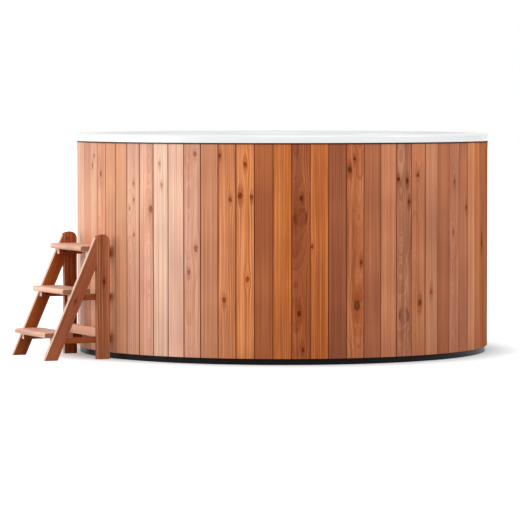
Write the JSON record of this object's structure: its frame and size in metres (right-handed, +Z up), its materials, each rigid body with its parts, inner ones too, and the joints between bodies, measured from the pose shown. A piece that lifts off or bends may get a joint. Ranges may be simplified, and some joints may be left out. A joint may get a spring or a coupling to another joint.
{
  "type": "cold plunge tub",
  "caption": "Round cold plunge tub clad in upright cedar boards, with a white moulded shell and rim, a black plinth and a free-standing three-tread ladder.",
  "frame": {"origin": "on the floor at the axis of the round tub", "axes": "+Z up the tub axis, -X towards the ladder, the ports near +Y"},
  "size_m": [2.3385, 2.09, 1.061],
  "materials": {
    "cedar": "oiled red cedar, straight grain, satin",
    "white_shell": "white gloss acrylic, glass-fibre backed",
    "black_plinth": "black, matte",
    "plywood": "sealed plywood",
    "frame_timber": "planed softwood",
    "insulation": "closed-cell foam",
    "black_rubber": "black rubber",
    "white_fitting": "white, satin",
    "grey_fitting": "dark grey, satin",
    "stainless": "brushed stainless steel",
    "dark_bolt": "dark bronze, satin",
    "lever_red": "red coated"
  },
  "bodies": {
    "tub": {"base_tray": "black_plinth", "base_deck": "plywood", "sill_ring": "frame_timber", "middle_ring": "frame_timber", "top_ring": "frame_timber", "frame_posts": "frame_timber", "bench_ribs": "plywood", "floor_pad": "insulation", "insulation_jacket": "insulation", "shell": "white_shell", "rim_gasket": "black_rubber", "boards_front": "cedar", "boards_front_right": "cedar", "boards_right": "cedar", "boards_back_right": "cedar", "boards_back": "cedar", "boards_back_left": "cedar", "boards_left": "cedar", "boards_front_left": "cedar", "drain_body": "white_fitting", "drain_seal": "black_rubber", "drain_nut": "white_fitting", "drain_grate": "stainless", "grate_screw": "stainless", "drain_elbow": "white_fitting", "drain_pipe": "white_fitting", "valve_body": "grey_fitting", "valve_end": "grey_fitting", "suction_body": "white_fitting", "suction_seal": "black_rubber", "suction_nut": "white_fitting", "suction_cover": "white_fitting", "suction_pipe": "white_fitting", "suction_port": "grey_fitting", "return_body": "white_fitting", "return_seal": "black_rubber", "return_nut": "white_fitting", "return_ring": "white_fitting", "return_pipe": "white_fitting", "return_port": "grey_fitting", "service_plate": "stainless", "plate_screws": "stainless"},
    "drain_lever": {"valve_ball": "stainless", "valve_lever": "lever_red", "valve_stem_nut": "stainless"},
    "return_nozzle": {"return_eyeball": "white_fitting"},
    "ladder": {"leg_right": "cedar", "leg_left": "cedar", "stringer_right": "cedar", "stringer_left": "cedar", "tread_bottom": "cedar", "tread_middle": "cedar", "tread_top": "cedar", "bearers_right": "cedar", "bearers_left": "cedar", "back_rail": "cedar", "ladder_screws": "stainless", "lap_bolts": "dark_bolt", "lap_nuts": "dark_bolt"}
  },
  "joints": [
    {"name": "drain_valve_turn", "type": "hinge", "parent": "tub", "child": "drain_lever", "pos_m": [-0.03113, 1.03461, 0.072], "axis": [0, 0, 1], "range_deg": [0, 90]},
    {"name": "return_nozzle_swivel", "type": "hinge", "parent": "tub", "child": "return_nozzle", "pos_m": [-0.01654, 0.54983, 0.33], "axis": [0, 0, 1], "range_deg": [-20, 20]},
    {"name": "ladder_pull_away", "type": "slide", "parent": "tub", "child": "ladder", "axis": [-1, 0, 0], "range_m": [0, 0.6]}
  ]
}
